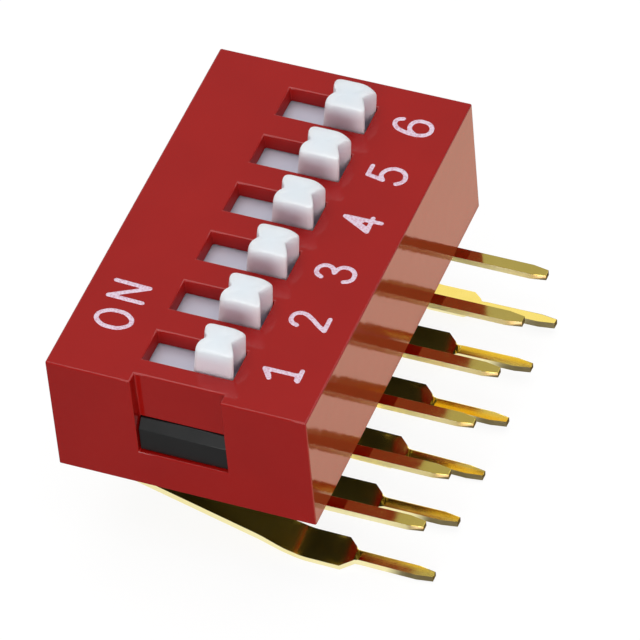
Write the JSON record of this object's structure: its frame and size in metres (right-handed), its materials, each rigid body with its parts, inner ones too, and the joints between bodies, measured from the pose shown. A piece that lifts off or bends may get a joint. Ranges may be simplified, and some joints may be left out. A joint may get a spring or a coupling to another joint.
{
  "type": "dip switch",
  "caption": "Right-angle slide DIP switch: a red housing with a row of white sliders over sprung contacts, and gold-plated leads bent to one side for a circuit board.",
  "frame": {"origin": "middle of the housing's number-side face, the face that lies against the circuit board", "axes": "+X out of that face, the way the leads point; +Y along the row from switch 1; +Z out of the face with the knobs"},
  "size_m": [0.0133, 0.0164, 0.01],
  "materials": {
    "cover_plastic": "glossy red moulding",
    "base_plastic": "satin black moulding",
    "slider_plastic": "satin white moulding",
    "contact_metal": "gold-plated spring strip",
    "lead_metal": "gold-plated stamped sheet"
  },
  "bodies": {
    "housing": {"cover": "cover_plastic", "base": "base_plastic", "upper_terminal_1": "lead_metal", "upper_terminal_2": "lead_metal", "upper_terminal_3": "lead_metal", "upper_terminal_4": "lead_metal", "upper_terminal_5": "lead_metal", "upper_terminal_6": "lead_metal", "lower_terminal_1": "lead_metal", "lower_terminal_2": "lead_metal", "lower_terminal_3": "lead_metal", "lower_terminal_4": "lead_metal", "lower_terminal_5": "lead_metal", "lower_terminal_6": "lead_metal"},
    "switch_1": {"slider_1": "slider_plastic", "moving_contact_1": "contact_metal"},
    "switch_2": {"slider_2": "slider_plastic", "moving_contact_2": "contact_metal"},
    "switch_3": {"slider_3": "slider_plastic", "moving_contact_3": "contact_metal"},
    "switch_4": {"slider_4": "slider_plastic", "moving_contact_4": "contact_metal"},
    "switch_5": {"slider_5": "slider_plastic", "moving_contact_5": "contact_metal"},
    "switch_6": {"slider_6": "slider_plastic", "moving_contact_6": "contact_metal"}
  },
  "joints": [
    {"name": "switch_1_slide", "type": "slide", "parent": "housing", "child": "switch_1", "axis": [-1, 0, 0], "range_m": [0, 0.0015]},
    {"name": "switch_2_slide", "type": "slide", "parent": "housing", "child": "switch_2", "axis": [-1, 0, 0], "range_m": [0, 0.0015]},
    {"name": "switch_3_slide", "type": "slide", "parent": "housing", "child": "switch_3", "axis": [-1, 0, 0], "range_m": [0, 0.0015]},
    {"name": "switch_4_slide", "type": "slide", "parent": "housing", "child": "switch_4", "axis": [-1, 0, 0], "range_m": [0, 0.0015]},
    {"name": "switch_5_slide", "type": "slide", "parent": "housing", "child": "switch_5", "axis": [-1, 0, 0], "range_m": [0, 0.0015]},
    {"name": "switch_6_slide", "type": "slide", "parent": "housing", "child": "switch_6", "axis": [-1, 0, 0], "range_m": [0, 0.0015]}
  ]
}
